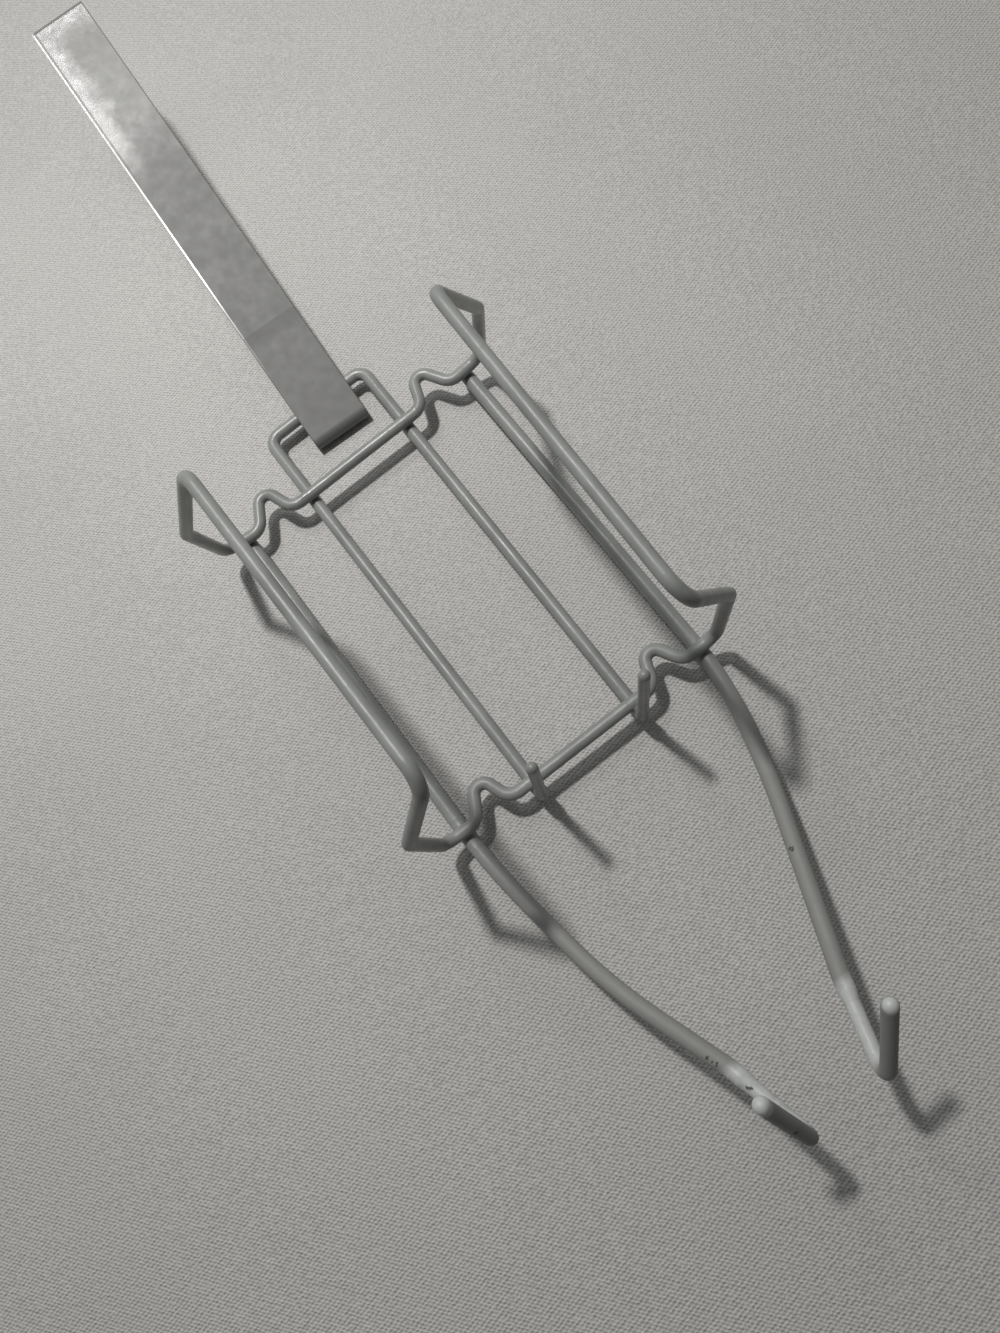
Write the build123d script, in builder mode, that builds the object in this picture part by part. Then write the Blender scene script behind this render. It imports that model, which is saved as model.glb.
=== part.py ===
from build123d import *
import math
import os

os.makedirs("parts", exist_ok=True)

# Millimetres. X is right as seen from the front, Y goes back to the door and Z is up.
# The origin is where the strap rests on the door's top edge, in the middle of its top plate's underside.

# Wire sizes over their coating
ring_wire = 4.8
hanger_wire = 5.1
leg_wire = 5.8
pin_wire = 4.0       # the wires' free ends are thinner
hook_wire = 4.9
weld_set = 0.2       # how far the crossing wires are sunk into the ring where they are welded
hook_play = 0.1      # free space between the strap and the loop bar

# Door strap
strap_width = 25.4
strap_thick = 1.2
door_gap = 45.0      # inner depth, for a door up to this thickness
strap_drop = 195.0   # seat to the loop bar, along the strap
back_drop = 70.0     # leg behind the door
top_bend = 1.8       # middle radius of the two top bends
strap_lean = 16.3    # the strap leans forward on its loop when the holder lies flat
strap_turn = 3.1     # and is turned a little to the right
crease_up = 38.0     # crease height above the loop bar
crease_step = 0.6    # how far the strip falls back below the crease
crease_fall = 6.0    # length of that slope
edge_round = 0.45    # the coating rounds the strip's long edges
fold_down = 12.8     # where the lower fold starts, below the loop bar
fold_bend = 3.0      # middle radius of the fold
fold_back = 27.0     # leg behind the loop bar
strap_side = 3.4     # the strap hooks this far right of the middle

# Hanger frame
loop_up = 34.6       # loop bar above the upper crossbar
loop_half = 24.3
rod_half_low = 22.8
loop_bend = 5.0
pin_bend = 4.6
pin_gap = 0.3        # below the lower crossbar
pin_root = 9.0       # from the foot of a rod to where its end gets thinner
end_cone = 4.0       # length over which a wire gets thinner
left_pin_tip = (-18.2, -50.7, -154.6)
right_pin_tip = (26.4, -49.7, -153.2)

# Cradle ring, right half and the rails' ends of both sides, which were bent a little differently
bar_pitch = 147.2    # between the two crossbars
notch_bend = 3.9
foot_bend = 5.5
side_bend = 6.5
arm_bend = 6.0
apex_bend = 8.0
upper_notch = [(32.7, 0, 0), (38.9, 0, 18.0), (48.2, 0, 1.0)]
upper_arm = [(64.3, 0, 2.4), (65.4, -45.0, -10.1)]
right_rail = [(47.8, -90.9, -27.0), (42.7, -92.5, -153.6)]
left_rail = [(-46.6, -91.8, -24.2), (-42.7, -93.7, -149.9)]
lower_arm = [(62.1, -51.7, -149.8), (61.2, 0, 1.0 - bar_pitch)]
lower_notch = [(46.8, 0, 0.6 - bar_pitch), (38.2, 0, 16.2 - bar_pitch), (32.2, 0, -bar_pitch)]

# Legs, the same bends sprung a little differently
leg_top = 3.0        # above the upper crossbar
knee_root = 4.0      # from the knee to where the leg gets thinner
left_leg_line = [(-55.5, 0, leg_top), (-53.0, 0, -160.0), (-42.5, -14.3, -218.0)]
left_knee = (-26.6, -24.2, -258.5)
left_heel = (-18.7, -31.5, -287.8)
left_tip = (-23.7, -67.1, -265.2)
left_leg_bends = [120, 200, 9]
right_leg_line = [(55.6, 0, leg_top), (53.9, 0, -158.5), (43.0, -9.0, -195.0)]
right_knee = (16.9, -24.4, -257.5)
right_heel = (7.0, -31.8, -286.9)
right_tip = (19.0, -65.6, -265.6)
right_leg_bends = [90, 300, 9]
heel_bend = 6.5

# Places that follow from the sizes
strap_place = Location((0, 0, 0), (strap_lean, strap_turn, 0))
rod_back = (ring_wire + hanger_wire) / 2 - weld_set
leg_back = (ring_wire + leg_wire) / 2 - weld_set
bar_in_strap = hanger_wire / 2 + hook_play - door_gap / 2
loop_middle = (strap_place * Location((0, bar_in_strap, -strap_drop))).position
middle = Vector(loop_middle.X - strap_side, loop_middle.Y - rod_back, loop_middle.Z - loop_up)


def at(point, back=0.0):
    # A point of the holder, counted from the middle of the upper crossbar
    return Vector(middle.X + point[0], middle.Y + point[1] + back, middle.Z + point[2])


def towards(start, end, length):
    return start + (end - start).normalized() * length


# Strap, drawn from the side: the first number goes back and the second goes up
front = -door_gap / 2
crease = crease_up - strap_drop
fold = -strap_drop - fold_down
lean = math.radians(strap_lean)
fold_mid = front - strap_thick / 2 + fold_bend
fold_end = (fold_mid + fold_bend * math.cos(lean), fold - fold_bend * math.sin(lean))
tail_end = (fold_end[0] + fold_back * math.sin(lean), fold_end[1] + fold_back * math.cos(lean))
strip_top = strap_thick / 2
strip_front = front - strap_thick / 2
strip_back = door_gap / 2 + strap_thick / 2

with BuildPart() as door_strap:
    with BuildSketch(Plane(strap_place * Plane.YZ.location)) as strip_side:
        with BuildLine() as strip_line:
            head = FilletPolyline(
                (strip_back, -back_drop),
                (strip_back, strip_top),
                (strip_front, strip_top),
                (strip_front - crease_step, crease),
                (strip_front, crease - crease_fall),
                (strip_front, fold),
                radius=[top_bend, top_bend, 0.7, 50],
            )
            turn = CenterArc((fold_mid, fold), fold_bend, 180, 180 - strap_lean)
            tail = Line(turn @ 1, tail_end)
            offset(amount=strap_thick / 2, kind=Kind.INTERSECTION, side=Side.BOTH)
        make_face()
    extrude(amount=strap_width / 2, both=True)
    sides = door_strap.faces().sort_by(Axis.X)
    fillet(sides[0].edges() + sides[-1].edges(), edge_round)
door_strap.part.label = "door_strap"
export_step(door_strap.part, "parts/door_strap.step")

low = -bar_pitch - (ring_wire + hanger_wire) / 2 - pin_gap
left_foot = at((-rod_half_low, 0, low), rod_back)
right_foot = at((rod_half_low, 0, low), rod_back)
left_root = towards(left_foot, at(left_pin_tip), pin_root)
right_root = towards(right_foot, at(right_pin_tip), pin_root)

with BuildPart() as hanger_frame:
    with BuildLine() as hanger_line:
        FilletPolyline(
            left_root,
            left_foot,
            at((-loop_half, 0, loop_up), rod_back),
            at((loop_half, 0, loop_up), rod_back),
            right_foot,
            right_root,
            radius=[pin_bend, loop_bend, loop_bend, pin_bend],
        )
    with BuildSketch(Plane(origin=hanger_line.line @ 0, z_dir=hanger_line.line % 0)) as hanger_section:
        Circle(hanger_wire / 2)
    sweep()
    for root, tip in [(left_root, at(left_pin_tip)), (right_root, at(right_pin_tip))]:
        cone_end = towards(root, tip, end_cone)
        with Locations(Plane(origin=root, z_dir=tip - root)):
            Cone(hanger_wire / 2, pin_wire / 2, end_cone, align=(Align.CENTER, Align.CENTER, Align.MIN))
        with Locations(Plane(origin=cone_end, z_dir=tip - root)):
            Cylinder(pin_wire / 2, (tip - cone_end).length, align=(Align.CENTER, Align.CENTER, Align.MIN))
        with Locations(tip):
            Sphere(pin_wire / 2)
hanger_frame.part.label = "hanger_frame"
export_step(hanger_frame.part, "parts/hanger_frame.step")

left_knee_end = towards(at(left_knee, leg_back), at(left_heel, leg_back), knee_root)
left_shin = towards(left_knee_end, at(left_heel, leg_back), end_cone)
with BuildPart() as left_leg:
    with BuildLine() as left_line:
        FilletPolyline(
            [at(point, leg_back) for point in left_leg_line + [left_knee]] + [left_knee_end],
            radius=left_leg_bends,
        )
    with BuildSketch(Plane(origin=left_line.line @ 0, z_dir=left_line.line % 0)) as left_section:
        Circle(leg_wire / 2)
    sweep()
    with BuildLine() as left_hook_line:
        FilletPolyline(left_shin, at(left_heel, leg_back), at(left_tip, leg_back), radius=heel_bend)
    with BuildSketch(Plane(origin=left_shin, z_dir=left_hook_line.line % 0)) as left_hook_section:
        Circle(hook_wire / 2)
    sweep()
    with Locations(Plane(origin=left_knee_end, z_dir=left_hook_line.line % 0)):
        Cone(leg_wire / 2, hook_wire / 2, end_cone, align=(Align.CENTER, Align.CENTER, Align.MIN))
    with Locations(left_line.line @ 0):
        Sphere(leg_wire / 2)
    with Locations(at(left_tip, leg_back)):
        Sphere(hook_wire / 2)
left_leg.part.label = "left_leg"
export_step(left_leg.part, "parts/left_leg.step")

right_knee_end = towards(at(right_knee, leg_back), at(right_heel, leg_back), knee_root)
right_shin = towards(right_knee_end, at(right_heel, leg_back), end_cone)
with BuildPart() as right_leg:
    with BuildLine() as right_line:
        FilletPolyline(
            [at(point, leg_back) for point in right_leg_line + [right_knee]] + [right_knee_end],
            radius=right_leg_bends,
        )
    with BuildSketch(Plane(origin=right_line.line @ 0, z_dir=right_line.line % 0)) as right_section:
        Circle(leg_wire / 2)
    sweep()
    with BuildLine() as right_hook_line:
        FilletPolyline(right_shin, at(right_heel, leg_back), at(right_tip, leg_back), radius=heel_bend)
    with BuildSketch(Plane(origin=right_shin, z_dir=right_hook_line.line % 0)) as right_hook_section:
        Circle(hook_wire / 2)
    sweep()
    with Locations(Plane(origin=right_knee_end, z_dir=right_hook_line.line % 0)):
        Cone(leg_wire / 2, hook_wire / 2, end_cone, align=(Align.CENTER, Align.CENTER, Align.MIN))
    with Locations(right_line.line @ 0):
        Sphere(leg_wire / 2)
    with Locations(at(right_tip, leg_back)):
        Sphere(hook_wire / 2)
right_leg.part.label = "right_leg"
export_step(right_leg.part, "parts/right_leg.step")

# The ring's two halves, each swept from mid-bar to mid-bar, then pressed on the wires behind them
notch_radii = [foot_bend, notch_bend, foot_bend]
arm_radii = [side_bend, arm_bend, apex_bend, apex_bend, arm_bend, side_bend]
with BuildPart() as cradle_ring:
    for side, rail in [(1, right_rail), (-1, left_rail)]:
        above = [(x * side, y, z) for x, y, z in [(0, 0, 0)] + upper_notch + upper_arm]
        below = [(x * side, y, z) for x, y, z in lower_arm + lower_notch + [(0, 0, -bar_pitch)]]
        with BuildLine() as half_line:
            FilletPolyline(
                [at(point) for point in above + rail + below],
                radius=notch_radii + arm_radii + notch_radii,
            )
        with BuildSketch(Plane(origin=half_line.line @ 0, z_dir=half_line.line % 0)) as ring_section:
            Circle(ring_wire / 2)
        sweep()
    add(hanger_frame.part, mode=Mode.SUBTRACT)
    add(left_leg.part, mode=Mode.SUBTRACT)
    add(right_leg.part, mode=Mode.SUBTRACT)
cradle_ring.part.label = "cradle_ring"
export_step(cradle_ring.part, "parts/cradle_ring.step")
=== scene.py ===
# Wire iron holder: finish, small detail and stage. Metres, in the part's own frame.
import math

import bmesh
import bpy
from mathutils import Matrix, Vector, noise


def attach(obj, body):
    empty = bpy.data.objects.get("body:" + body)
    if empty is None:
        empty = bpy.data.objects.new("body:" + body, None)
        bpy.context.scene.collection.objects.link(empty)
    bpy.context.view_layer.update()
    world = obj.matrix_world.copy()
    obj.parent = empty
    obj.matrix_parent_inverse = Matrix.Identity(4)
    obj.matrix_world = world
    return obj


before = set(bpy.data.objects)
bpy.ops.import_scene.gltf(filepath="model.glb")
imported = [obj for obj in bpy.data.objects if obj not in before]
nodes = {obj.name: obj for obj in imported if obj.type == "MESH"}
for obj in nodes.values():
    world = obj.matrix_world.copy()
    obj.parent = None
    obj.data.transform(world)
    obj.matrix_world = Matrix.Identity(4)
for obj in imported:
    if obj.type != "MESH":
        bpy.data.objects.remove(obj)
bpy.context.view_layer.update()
scene = bpy.context.scene

# Camera, lamps and table, placed from the crossings and the shadows in the picture
CAMERA_AT = Vector((-0.02251, -0.32317, -0.44810))
CAMERA_RIGHT = Vector((0.78885, 0.18551, -0.58592))
CAMERA_UP = Vector((0.61456, -0.24673, 0.74930))
CAMERA_AHEAD = Vector((0.00556, 0.95116, 0.30864))
FOCAL_PIXELS = 1012.7
PICTURE_HEIGHT = 1333.0
SENSOR = 36.0
MAIN_LAMP_AT = Vector((-0.0223, -0.98285, 0.08594))
SHEEN_LAMP_AT = Vector((0.034, -0.836, 0.285))
SKY_FACES = (-0.10, -0.35, 0.93)
TABLE_BACK = 0.0429
TABLE_SLOPE = 0.012
TABLE_MIDDLE = -0.014
TABLE_HALF, TABLE_LOW, TABLE_HIGH = 1.3, -1.45, 0.85

# Colours of the coating and of the canvas
WIRE_GREY = (0.287, 0.297, 0.285)
LEG_GREY = (0.285, 0.283, 0.272)
# Pale colour of the painted highlight on the legs' shins and hook tips
PAINTED_HIGHLIGHT_PALE = (0.57, 0.585, 0.572)
CHIP_DARK = (0.045, 0.044, 0.042)
STRAP_GREY = (0.163, 0.163, 0.158)
# Pale colour of the painted highlight along the strap's left edge
STRAP_EDGE_HIGHLIGHT = (0.64, 0.64, 0.63)
CANVAS_GREY = (0.620, 0.608, 0.590)
CANVAS_PALE = (0.670, 0.655, 0.632)
CANVAS_GAP_SHADE = (0.30, 0.294, 0.285)
COAT_SHINE = 0.55
CANVAS_SHINE = 0.35
CANVAS_ROUGH = 0.62

# Bands of a noise that the coats use: the middle of it, and nearly all of it
MIDDLE_BAND = (0.35, 0.65)
WIDE_BAND = (0.3, 0.7)

# Where the finish changes on the wires: heights, and how far back the shins and hook tips with the painted
# highlight are
RING_ROUGHER = (-0.230, -0.360)
LEGS_DULLER = (-0.360, -0.420)
KNEES = (-0.4835, -0.4865)
SHINS_BACK = (-0.001, 0.004)
TIPS_FRONT = (-0.0298, -0.0312)

# The strap's own directions, and where its finish changes, up from its seat and across from its middle
STRAP_RIGHT = (0.9985, 0.0152, -0.0519)
STRAP_UP = (0.0541, -0.2803, 0.9584)
RIPPLES_UP = (-0.080, -0.052)
PAINTED_SHEEN_UP = (-0.100, -0.030)
GLOSS_LEFT = (-0.0020, -0.0085)
GLOSS_TOP = (-0.013, -0.003)
GLOSS_EDGE = 0.016
SEAM_LEFT = -0.01115
SEAM_HALF = (0.00025, 0.00060)
EDGE_HIGHLIGHT_LEFT = (-0.01185, -0.01165)
EDGE_HIGHLIGHT_UP = (-0.178, -0.120)
STRAP_SMOOTHEST = 0.17

# The canvas: turn and fineness of its two runs of threads, then of its brush marks
THREADS = [(-77.3, 240.0), (42.5, 275.0)]
BRUSH_TURN = -52.0
BRUSH_FINENESS = (260.0, 1.0, 9.0)

# Where the wires are welded: middle of each contact, and the node that meets the ring there
WELDS = [
    ("weld_loop_left", (-0.03786, 0.03306, -0.22708), "hanger_frame"),
    ("weld_loop_right", (0.01003, 0.03307, -0.22710), "hanger_frame"),
    ("weld_foot_left", (-0.03675, 0.03302, -0.37441), "hanger_frame"),
    ("weld_foot_right", (0.00886, 0.03287, -0.37468), "hanger_frame"),
    ("weld_leg_left_upper", (-0.06938, 0.03307, -0.22537), "left_leg"),
    ("weld_leg_left_lower", (-0.06716, 0.03303, -0.37352), "left_leg"),
    ("weld_leg_right_upper", (0.04167, 0.03307, -0.22537), "right_leg"),
    ("weld_leg_right_lower", (0.03992, 0.03303, -0.37344), "right_leg"),
]
WELD_REACH = 0.0085
WELD_NEAR = 3.0
WELD_SWELL = 0.00010
WELD_VOXEL = 0.00032
WELD_ROUNDS = 26
WELD_LUMPS = 0.00010
WELD_LUMP_FINENESS = 650.0
SAME_POINT = 1e-7

# Chips in the legs' coating: place and radius
LEFT_LEG_CHIPS = [
    ((-0.03944, 0.00764, -0.49242), 0.0011),
    ((-0.03552, -0.01530, -0.50521), 0.0010),
    ((-0.04455, 0.01083, -0.47897), 0.0006),
    ((-0.04379, 0.01036, -0.48084), 0.0005),
    ((-0.04310, 0.00994, -0.48232), 0.0006),
]
RIGHT_LEG_CHIPS = [((0.01716, 0.01828, -0.44649), 0.0009)]
CHIP_RIM = 0.8
CHIP_RAGGED = 0.0042
CHIP_DEPTH = 0.0002


def feed(tree, socket, value):
    # A socket takes another node's output or a plain value, and a colour gets its alpha
    if isinstance(value, bpy.types.NodeSocket):
        tree.links.new(value, socket)
    elif socket.type == "RGBA":
        socket.default_value = (*value[:3], 1.0)
    else:
        socket.default_value = value


def put(tree, kind, inputs=None, **settings):
    made = tree.nodes.new("ShaderNode" + kind)
    for key, value in settings.items():
        setattr(made, key, value)
    for key, value in (inputs or {}).items():
        feed(tree, made.inputs[key], value)
    return made


def blank(name):
    made = bpy.data.materials.new(name)
    made.use_nodes = True
    tree = made.node_tree
    tree.nodes.clear()
    shader = put(tree, "BsdfPrincipled")
    out = put(tree, "OutputMaterial", {"Surface": shader.outputs["BSDF"]})
    return made, tree, shader, out


def grain(tree, where, scale, detail=2.0, rough=0.5, warp=0.0):
    return put(
        tree,
        "TexNoise",
        {"Vector": where, "Scale": scale, "Detail": detail, "Roughness": rough, "Distortion": warp},
    ).outputs["Fac"]


def spread(tree, value, low, high, to_low=0.0, to_high=1.0):
    return put(
        tree,
        "MapRange",
        {"Value": value, "From Min": low, "From Max": high, "To Min": to_low, "To Max": to_high},
    ).outputs["Result"]


def sums(tree, operation, first, second=0.0):
    return put(tree, "Math", {0: first, 1: second}, operation=operation).outputs[0]


def vectors(tree, operation, first, second):
    return put(tree, "VectorMath", {0: first, 1: second}, operation=operation).outputs["Vector"]


def along(tree, where, direction):
    return put(tree, "VectorMath", {0: where, 1: direction}, operation="DOT_PRODUCT").outputs["Value"]


def tint(tree, amount, first, second):
    return put(tree, "MixRGB", {0: amount, 1: first, 2: second}).outputs[0]


def shade(colour, factor):
    return tuple(v * factor for v in colour)


def bump(tree, height, strength, depth, under=None):
    inputs = {"Height": height, "Strength": strength, "Distance": depth}
    if under is not None:
        inputs["Normal"] = under
    return put(tree, "Bump", inputs).outputs["Normal"]


def lay_coat(tree, shader, colour, rough, skin):
    feed(tree, shader.inputs["Base Color"], colour)
    feed(tree, shader.inputs["Roughness"], rough)
    feed(tree, shader.inputs["Normal"], skin)
    feed(tree, shader.inputs["Specular IOR Level"], COAT_SHINE)


def leg_dullness_and_highlight(tree, where, colour, rough):
    # The legs are duller than the ring. From the knees to the heels and at the tips they are painted paler:
    # a painted highlight, broken into streaks
    place = put(tree, "SeparateXYZ", {"Vector": where}).outputs
    dull = spread(tree, place["Z"], *LEGS_DULLER)
    colour = tint(tree, sums(tree, "MULTIPLY", dull, 0.8), colour, LEG_GREY)
    rough = sums(tree, "ADD", rough, sums(tree, "MULTIPLY", dull, 0.22))
    shins = sums(tree, "MULTIPLY", spread(tree, place["Z"], *KNEES), spread(tree, place["Y"], *SHINS_BACK))
    shin_highlight = sums(tree, "MAXIMUM", shins, spread(tree, place["Y"], *TIPS_FRONT))
    streaks = grain(tree, where, scale=260.0, detail=3.0, rough=0.6, warp=0.6)
    streaks = spread(tree, streaks, 0.36, 0.50, to_low=0.70)
    shin_highlight = sums(tree, "MULTIPLY", shin_highlight, streaks)
    # Painted highlight: the shins and hook tips are made paler
    colour = tint(tree, shin_highlight, colour, PAINTED_HIGHLIGHT_PALE)
    rough = sums(tree, "SUBTRACT", rough, sums(tree, "MULTIPLY", shin_highlight, 0.20))
    return colour, rough


def chip_off(tree, where, chips, colour, rough, skin):
    # Ragged spots where the coating has broken away from the dark wire
    jag = put(tree, "TexNoise", {"Vector": where, "Scale": 700.0, "Detail": 3.0, "Roughness": 0.65})
    shift = vectors(tree, "SUBTRACT", jag.outputs["Color"], (0.5, 0.5, 0.5))
    shift = vectors(tree, "MULTIPLY", shift, (CHIP_RAGGED, CHIP_RAGGED, CHIP_RAGGED))
    ragged = vectors(tree, "ADD", where, shift)
    gone = 0.0
    for place, radius in chips:
        gap = put(tree, "VectorMath", {0: ragged, 1: place}, operation="DISTANCE").outputs["Value"]
        spot = spread(tree, gap, radius * CHIP_RIM, radius, to_low=1.0, to_high=0.0)
        gone = sums(tree, "MAXIMUM", gone, spot)
    colour = tint(tree, sums(tree, "MULTIPLY", gone, 0.85), colour, CHIP_DARK)
    skin = bump(tree, sums(tree, "SUBTRACT", 1.0, gone), strength=0.8, depth=CHIP_DEPTH, under=skin)
    rough = sums(tree, "ADD", rough, sums(tree, "MULTIPLY", gone, 0.35))
    return colour, rough, skin


def wire_coat(name, chips=()):
    # Grey coating on wire: faint mottle, a fine pebbled skin and a satin gloss, rougher lower down
    made, tree, shader, _ = blank(name)
    where = put(tree, "TexCoord").outputs["Object"]
    height = put(tree, "SeparateXYZ", {"Vector": where}).outputs["Z"]
    mottle = spread(tree, grain(tree, where, scale=55.0, detail=3.0), *MIDDLE_BAND)
    colour = tint(tree, mottle, shade(WIRE_GREY, 0.86), shade(WIRE_GREY, 1.08))
    specks = grain(tree, where, scale=420.0, detail=3.0, rough=0.6)
    specks = spread(tree, specks, 0.62, 0.78, to_high=0.35)
    colour = tint(tree, specks, colour, shade(WIRE_GREY, 0.6))
    rough = spread(tree, grain(tree, where, scale=190.0), *WIDE_BAND, to_low=0.28, to_high=0.38)
    rough = sums(tree, "ADD", rough, spread(tree, height, *RING_ROUGHER, to_high=0.10))
    skin = bump(tree, grain(tree, where, scale=640.0), strength=0.30, depth=0.00012)
    pebbles = grain(tree, where, scale=150.0, warp=0.4)
    skin = bump(tree, pebbles, strength=0.35, depth=0.0005, under=skin)
    if chips:
        colour, rough = leg_dullness_and_highlight(tree, where, colour, rough)
        colour, rough, skin = chip_off(tree, where, chips, colour, rough, skin)
    lay_coat(tree, shader, colour, rough, skin)
    return made


def strap_coat(name):
    # Grey coating on the flat strip: dull low down, rippled at the top and painted paler there as painted
    # sheen, with a glossy patch at the top and along its left side, a dull seam in it, and a painted
    # highlight line on the left edge
    made, tree, shader, _ = blank(name)
    where = put(tree, "TexCoord").outputs["Object"]
    up = along(tree, where, STRAP_UP)
    across = along(tree, where, STRAP_RIGHT)
    cloud = grain(tree, where, scale=150.0, detail=4.0, rough=0.65, warp=0.3)
    torn = sums(tree, "MULTIPLY", sums(tree, "SUBTRACT", cloud, 0.5), GLOSS_EDGE)
    torn_up = sums(tree, "ADD", up, torn)
    torn_across = sums(tree, "ADD", across, torn)
    upper = spread(tree, torn_up, *RIPPLES_UP)
    gloss = sums(tree, "MAXIMUM", spread(tree, torn_across, *GLOSS_LEFT), spread(tree, torn_up, *GLOSS_TOP))
    gloss = sums(tree, "MULTIPLY", upper, gloss)
    seam = sums(tree, "ABSOLUTE", sums(tree, "SUBTRACT", across, SEAM_LEFT))
    gloss = sums(tree, "MULTIPLY", gloss, spread(tree, seam, *SEAM_HALF))
    # Painted highlight: a pale line painted down the strap's left edge
    edge_highlight = spread(tree, across, *EDGE_HIGHLIGHT_LEFT, to_low=1.0, to_high=0.0)
    edge_highlight = sums(tree, "MULTIPLY", edge_highlight, spread(tree, up, *EDGE_HIGHLIGHT_UP))
    mottle = spread(tree, grain(tree, where, scale=38.0, detail=3.0), *MIDDLE_BAND)
    colour = tint(tree, mottle, shade(STRAP_GREY, 0.97), shade(STRAP_GREY, 1.03))
    # Painted sheen: the strap is painted paler towards its top, where the light falls on it
    colour = tint(tree, spread(tree, up, *PAINTED_SHEEN_UP), colour, shade(STRAP_GREY, 1.28))
    specks = grain(tree, where, scale=500.0, detail=3.0, rough=0.6)
    specks = spread(tree, specks, 0.64, 0.80, to_high=0.25)
    colour = tint(tree, specks, colour, shade(STRAP_GREY, 0.7))
    colour = tint(tree, edge_highlight, colour, STRAP_EDGE_HIGHLIGHT)
    rough = spread(tree, grain(tree, where, scale=210.0), *WIDE_BAND, to_low=0.52, to_high=0.60)
    for mask, less in ((upper, 0.12), (gloss, 0.24), (edge_highlight, 0.35)):
        rough = sums(tree, "SUBTRACT", rough, sums(tree, "MULTIPLY", mask, less))
    rough = sums(tree, "MAXIMUM", rough, STRAP_SMOOTHEST)
    skin = bump(tree, grain(tree, where, scale=700.0), strength=0.12, depth=0.00006)
    ripples = sums(tree, "MULTIPLY", grain(tree, where, scale=190.0, detail=3.0, rough=0.6), upper)
    skin = bump(tree, ripples, strength=0.30, depth=0.00024, under=skin)
    lay_coat(tree, shader, colour, rough, skin)
    return made


def canvas(name):
    # Pale primed canvas, painted darker in the gaps between its threads as painted shade. Seen from behind
    # it lets the object show.
    made, tree, shader, out = blank(name)
    where = put(tree, "TexCoord").outputs["Object"]
    weave = 0.0
    for angle, fineness in THREADS:
        turned = put(tree, "Mapping", {"Vector": where, "Rotation": (0.0, math.radians(angle), 0.0)})
        run = {"Vector": turned.outputs["Vector"], "Scale": fineness}
        run.update({"Distortion": 1.6, "Detail": 2.0, "Detail Scale": 1.5})
        threads = put(tree, "TexWave", run, bands_direction="X").outputs["Fac"]
        weave = sums(tree, "ADD", weave, sums(tree, "MULTIPLY", threads, 0.5))
    lumps = grain(tree, where, scale=900.0)
    weave = sums(tree, "ADD", weave, spread(tree, lumps, *WIDE_BAND, to_low=-0.28, to_high=0.28))
    strokes = put(
        tree,
        "Mapping",
        {"Vector": where, "Rotation": (0.0, math.radians(BRUSH_TURN), 0.0), "Scale": BRUSH_FINENESS},
    ).outputs["Vector"]
    brush = grain(tree, strokes, scale=1.0, detail=4.0)
    blot = spread(tree, grain(tree, where, scale=9.0, detail=3.0), 0.35, 0.7)
    colour = tint(tree, blot, CANVAS_GREY, CANVAS_PALE)
    # Painted shade: the gaps between the threads are painted darker
    gap_shade = spread(tree, weave, 0.0, 0.90, to_low=0.70, to_high=0.0)
    colour = tint(tree, gap_shade, colour, CANVAS_GAP_SHADE)
    skin = bump(tree, weave, strength=0.6, depth=0.0004)
    skin = bump(tree, lumps, strength=0.6, depth=0.0003, under=skin)
    skin = bump(tree, brush, strength=0.25, depth=0.0004, under=skin)
    feed(tree, shader.inputs["Base Color"], colour)
    feed(tree, shader.inputs["Normal"], skin)
    feed(tree, shader.inputs["Roughness"], CANVAS_ROUGH)
    feed(tree, shader.inputs["Specular IOR Level"], CANVAS_SHINE)
    clear = put(tree, "BsdfTransparent")
    side = put(tree, "NewGeometry").outputs["Backfacing"]
    both = put(tree, "MixShader", {0: side, 1: shader.outputs["BSDF"], 2: clear.outputs["BSDF"]})
    feed(tree, out.inputs["Surface"], both.outputs["Shader"])
    return made


coats = {
    "cradle_ring": wire_coat("coat_ring"),
    "hanger_frame": wire_coat("coat_hanger"),
    "left_leg": wire_coat("coat_left_leg", LEFT_LEG_CHIPS),
    "right_leg": wire_coat("coat_right_leg", RIGHT_LEG_CHIPS),
    "door_strap": strap_coat("coat_strap"),
}
for name, coat in coats.items():
    for slot in nodes[name].material_slots:
        slot.material = coat


def cut_out(source, middle, reach):
    # The part of a node within a box round a weld, closed where it is cut
    cut = bmesh.new()
    cut.from_mesh(source.data)
    far = [f for f in cut.faces if min((v.co - middle).length for v in f.verts) > reach * WELD_NEAR]
    bmesh.ops.delete(cut, geom=far, context="FACES")
    bmesh.ops.remove_doubles(cut, verts=cut.verts, dist=SAME_POINT)
    for axis in range(3):
        for sign in (1.0, -1.0):
            normal = Vector((0.0, 0.0, 0.0))
            normal[axis] = sign
            done = bmesh.ops.bisect_plane(
                cut,
                geom=cut.verts[:] + cut.edges[:] + cut.faces[:],
                plane_co=middle + normal * reach,
                plane_no=normal,
                clear_outer=True,
            )
            rim = [e for e in done["geom_cut"] if isinstance(e, bmesh.types.BMEdge)]
            if rim:
                bmesh.ops.triangle_fill(cut, edges=rim, use_beauty=True)
    return cut


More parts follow.
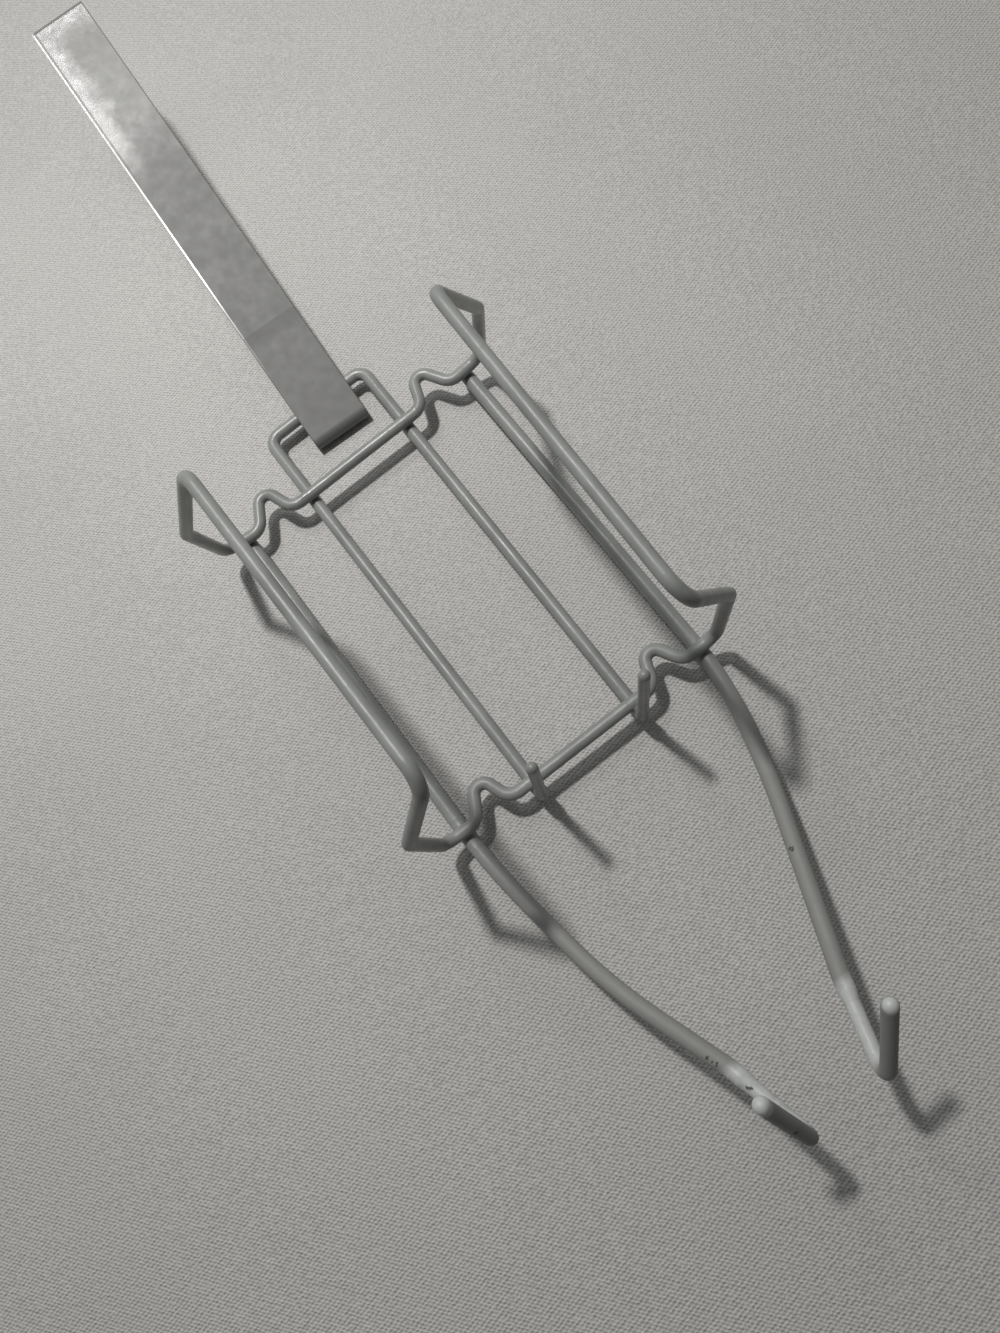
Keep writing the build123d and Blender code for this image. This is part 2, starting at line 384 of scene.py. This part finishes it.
def weld(name, place, other):
    # The run of coated weld metal that fills the corners where two wires cross
    middle = Vector(place)
    joined = bmesh.new()
    for node_name in ("cradle_ring", other):
        part = cut_out(nodes[node_name], middle, WELD_REACH)
        bmesh.ops.recalc_face_normals(part, faces=part.faces)
        part.normal_update()
        for v in part.verts:
            v.co += v.normal * WELD_SWELL
        kept = bpy.data.meshes.new("kept")
        part.to_mesh(kept)
        joined.from_mesh(kept)
        bpy.data.meshes.remove(kept)
        part.free()
    rough = bpy.data.meshes.new(name)
    joined.to_mesh(rough)
    joined.free()
    piece = bpy.data.objects.new(name, rough)
    scene.collection.objects.link(piece)
    modifier = piece.modifiers.new("fuse", "REMESH")
    modifier.mode = "VOXEL"
    modifier.voxel_size = WELD_VOXEL
    dg = bpy.context.evaluated_depsgraph_get()
    fused = bpy.data.meshes.new_from_object(piece.evaluated_get(dg))
    piece.modifiers.clear()
    shape = bmesh.new()
    shape.from_mesh(fused)
    every_way = {"use_axis_x": True, "use_axis_y": True, "use_axis_z": True}
    for _ in range(WELD_ROUNDS):
        bmesh.ops.smooth_vert(shape, verts=shape.verts, factor=0.5, **every_way)
    shape.normal_update()
    for v in shape.verts:
        v.co += v.normal * WELD_LUMPS * noise.noise(v.co * WELD_LUMP_FINENESS)
    for f in shape.faces:
        f.smooth = True
    shape.to_mesh(fused)
    shape.free()
    piece.data = fused
    bpy.data.meshes.remove(rough)
    fused.name = name
    fused.materials.clear()
    fused.materials.append(coats["hanger_frame"])
    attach(piece, "root")


for name, place, other in WELDS:
    weld(name, place, other)

# The canvas that the holder lies on is stage
left_back, right_back = (TABLE_BACK + TABLE_SLOPE * (x - TABLE_MIDDLE) for x in (-TABLE_HALF, TABLE_HALF))
sheet = bpy.data.meshes.new("backdrop")
sheet.from_pydata(
    [
        (-TABLE_HALF, left_back, TABLE_LOW),
        (TABLE_HALF, right_back, TABLE_LOW),
        (TABLE_HALF, right_back, TABLE_HIGH),
        (-TABLE_HALF, left_back, TABLE_HIGH),
    ],
    [],
    [(0, 1, 2, 3)],
)
sheet.materials.append(canvas("primed_canvas"))
backdrop = bpy.data.objects.new("backdrop", sheet)
scene.collection.objects.link(backdrop)


def lamp(name, place, aim, size, power, colour, cone):
    light = bpy.data.lights.new(name, "AREA")
    light.shape = "DISK"
    light.size = size
    light.energy = power
    light.color = colour
    light.spread = math.radians(cone)
    held = bpy.data.objects.new(name, light)
    held.location = place
    held.rotation_mode = "QUATERNION"
    held.rotation_quaternion = (Vector(aim) - place).to_track_quat("-Z", "Y")
    scene.collection.objects.link(held)


lamp(
    "main_lamp",
    MAIN_LAMP_AT,
    aim=(-0.03, 0.04, -0.08),
    size=0.075,
    power=2.7,
    colour=(1.0, 0.985, 0.965),
    cone=110.0,
)
lamp(
    "sheen_lamp",
    SHEEN_LAMP_AT,
    aim=(-0.01, 0.0, -0.04),
    size=0.15,
    power=0.26,
    colour=(1.0, 0.99, 0.98),
    cone=90.0,
)

# The room: an even grey to the camera, and a soft light from above and in front to the object
world = bpy.data.worlds.new("room")
scene.world = world
world.use_nodes = True
air = world.node_tree
air.nodes.clear()
seen = put(air, "Background", {"Color": (0.50, 0.495, 0.485), "Strength": 1.0})
facing = along(air, put(air, "TexCoord").outputs["Generated"], SKY_FACES)
glow = spread(air, facing, -0.4, 1.0, to_low=0.02, to_high=0.36)
fill = put(air, "Background", {"Color": (0.97, 1.0, 1.0), "Strength": glow})
direct = put(air, "LightPath").outputs["Is Camera Ray"]
sky = put(air, "MixShader", {0: direct, 1: fill.outputs["Background"], 2: seen.outputs["Background"]})
put(air, "OutputWorld", {"Surface": sky.outputs["Shader"]})

lens = bpy.data.cameras.new("camera")
lens.sensor_width = SENSOR
lens.lens = FOCAL_PIXELS / PICTURE_HEIGHT * SENSOR
lens.clip_start = 0.01
camera = bpy.data.objects.new("camera", lens)
turn = Matrix((CAMERA_RIGHT, CAMERA_UP, -CAMERA_AHEAD)).transposed().to_4x4()
camera.matrix_world = Matrix.Translation(CAMERA_AT) @ turn
scene.collection.objects.link(camera)
scene.camera = camera
scene.view_settings.view_transform = "Standard"
